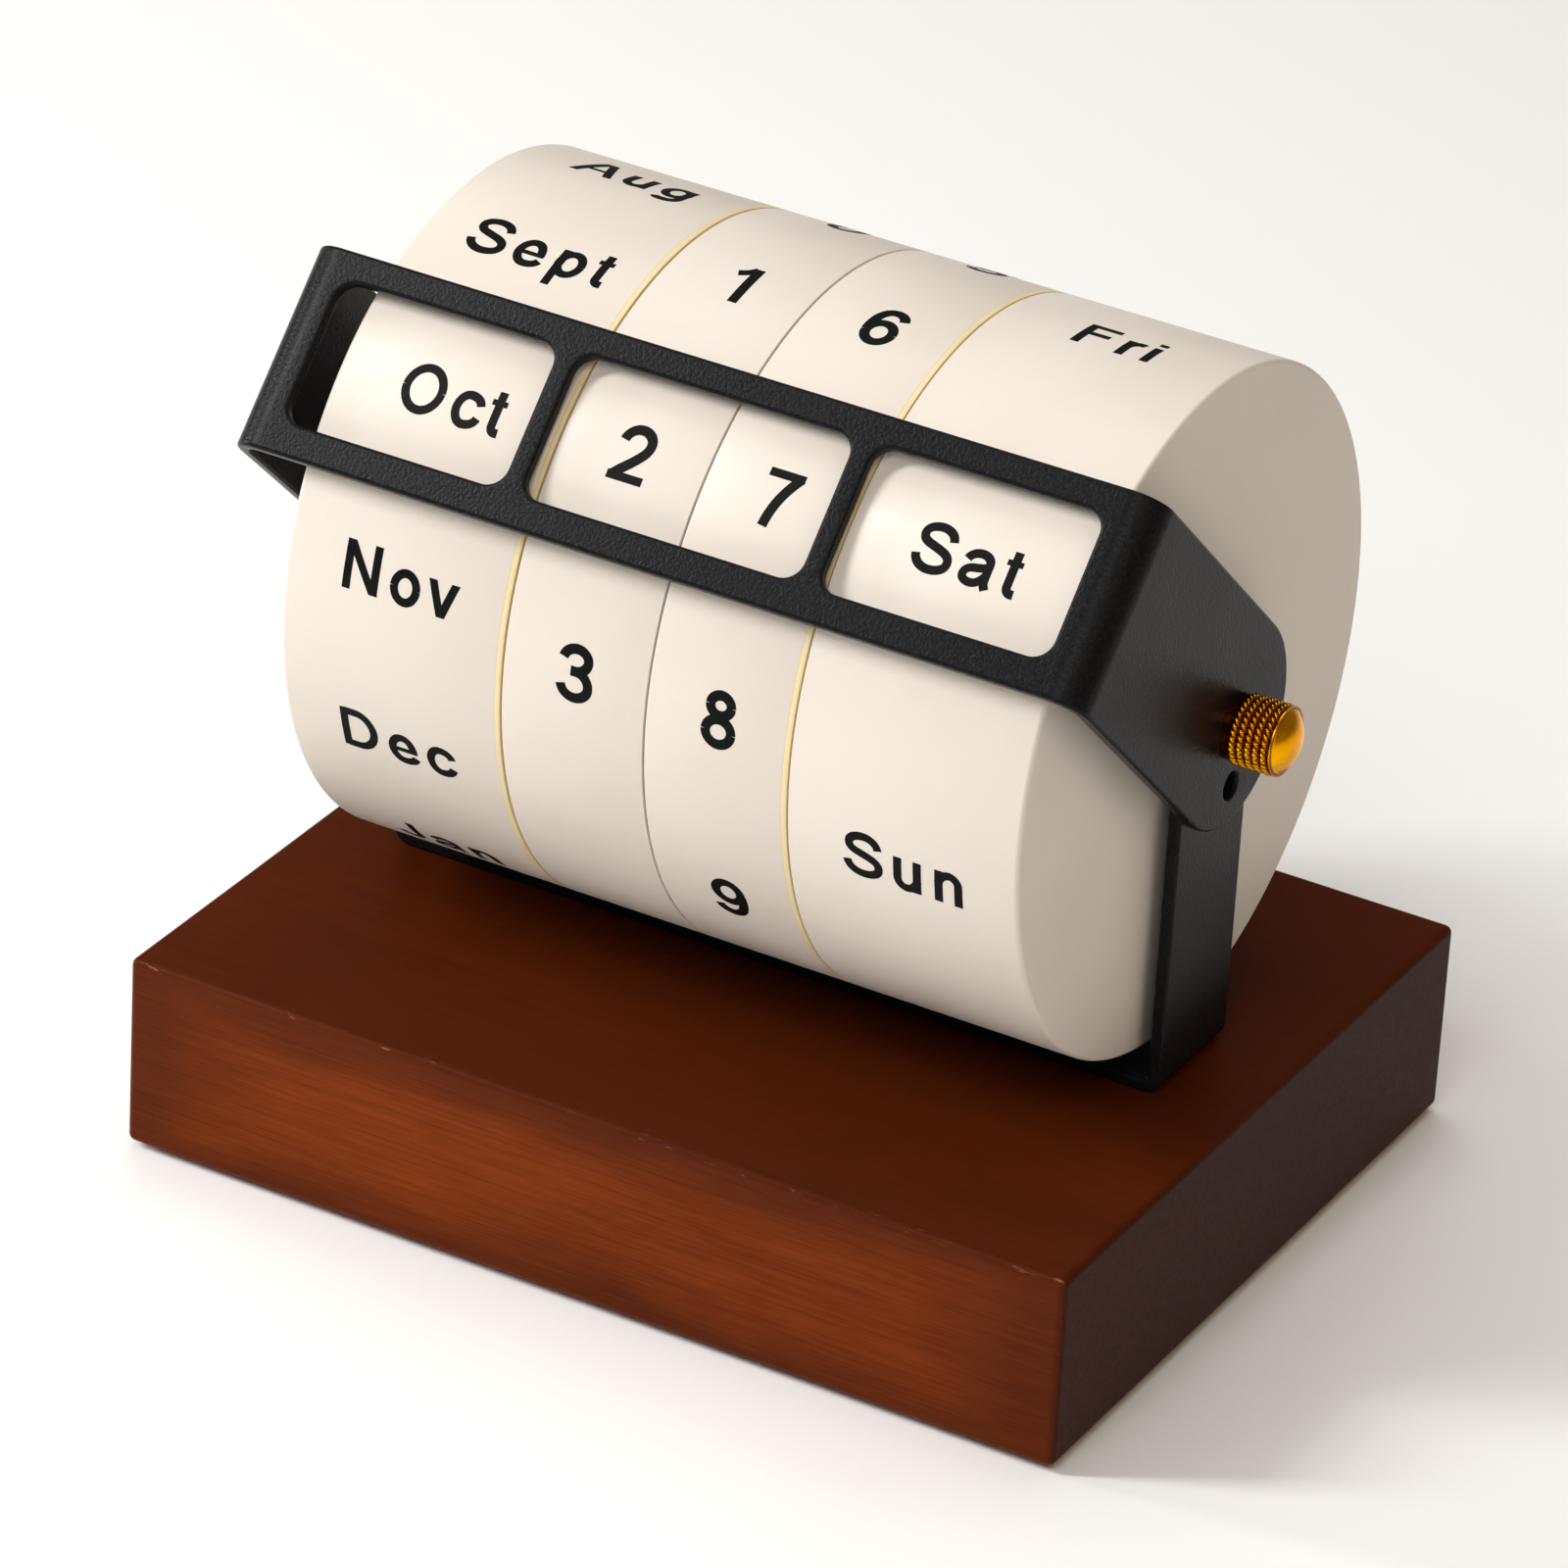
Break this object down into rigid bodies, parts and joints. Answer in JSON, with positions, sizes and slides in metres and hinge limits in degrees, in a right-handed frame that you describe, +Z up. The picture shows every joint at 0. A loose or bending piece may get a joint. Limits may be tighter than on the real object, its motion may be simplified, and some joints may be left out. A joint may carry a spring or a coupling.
{
  "type": "desk perpetual calendar",
  "caption": "Desk perpetual calendar: printed drums turn on an axle in a strap stand on a wooden block, read through a tilting window frame held by knurled knobs.",
  "frame": {"origin": "middle of the underside, on the felt that the object stands on", "axes": "+X along the axle towards the weekday drum, -Y to the front where the windows face, +Z up"},
  "size_m": [0.1529, 0.117, 0.1359],
  "materials": {
    "walnut_wood": "stained, satin lacquer",
    "black_felt": "pressed felt",
    "black_powder_coat": "fine matt texture",
    "zinc_steel": "bright",
    "ivory_plastic": "smooth gloss",
    "cream_plastic": "smooth gloss",
    "nylon": "smooth",
    "brass": "knurled, lacquered",
    "black_ink": "printed lettering, no solid of its own"
  },
  "bodies": {
    "stand": {"wood_base": "walnut_wood", "base_felt": "black_felt", "stand_bracket": "black_powder_coat", "bracket_screws": "zinc_steel", "axle": "zinc_steel", "retaining_clips": "zinc_steel", "drum_washers": "nylon", "thrust_bush": "nylon", "spring_washer": "zinc_steel", "frame_spacer": "black_powder_coat", "friction_washer": "nylon"},
    "month_drum": {"month_drum_shell": "ivory_plastic", "month_drum_cap": "cream_plastic", "month_drum_hub": "nylon"},
    "tens_drum": {"tens_drum_shell": "ivory_plastic", "tens_drum_cap": "cream_plastic", "tens_drum_hub": "nylon"},
    "units_drum": {"units_drum_shell": "ivory_plastic", "units_drum_cap": "cream_plastic", "units_drum_hub": "nylon"},
    "weekday_drum": {"weekday_drum_shell": "ivory_plastic", "weekday_drum_cap": "cream_plastic", "weekday_drum_hub": "nylon"},
    "frame": {"window_frame": "black_powder_coat"},
    "washer_left": {"clamp_washer_left": "brass"},
    "knob_left": {"thumb_knob_left": "brass"},
    "washer_right": {"clamp_washer_right": "brass"},
    "knob_right": {"thumb_knob_right": "brass"}
  },
  "joints": [
    {"name": "month_spin", "type": "hinge", "parent": "stand", "child": "month_drum", "pos_m": [0, 0.0012, 0.086], "axis": [1, 0, 0], "continuous": true},
    {"name": "tens_spin", "type": "hinge", "parent": "stand", "child": "tens_drum", "pos_m": [0, 0.0012, 0.086], "axis": [1, 0, 0], "continuous": true},
    {"name": "units_spin", "type": "hinge", "parent": "stand", "child": "units_drum", "pos_m": [0, 0.0012, 0.086], "axis": [1, 0, 0], "continuous": true},
    {"name": "weekday_spin", "type": "hinge", "parent": "stand", "child": "weekday_drum", "pos_m": [0, 0.0012, 0.086], "axis": [1, 0, 0], "continuous": true},
    {"name": "frame_tilt", "type": "hinge", "parent": "stand", "child": "frame", "pos_m": [0, 0.0012, 0.086], "axis": [1, 0, 0], "range_deg": [-197, 103.5]},
    {"name": "left_washer_slide", "type": "slide", "parent": "stand", "child": "washer_left", "axis": [-1, 0, 0], "range_m": [0, 0.00201]},
    {"name": "left_knob_turn", "type": "hinge", "parent": "washer_left", "child": "knob_left", "pos_m": [0, 0.0012, 0.086], "axis": [-1, 0, 0], "range_deg": [0, 720]},
    {"name": "right_washer_slide", "type": "slide", "parent": "stand", "child": "washer_right", "axis": [1, 0, 0], "range_m": [0, 0.00201]},
    {"name": "right_knob_turn", "type": "hinge", "parent": "washer_right", "child": "knob_right", "pos_m": [0, 0.0012, 0.086], "axis": [1, 0, 0], "range_deg": [0, 720]}
  ],
  "couplings": [
    {"joint": "left_washer_slide", "follows": "left_knob_turn", "m_per_rad": 0.00015915},
    {"joint": "right_washer_slide", "follows": "right_knob_turn", "m_per_rad": 0.00015915}
  ]
}
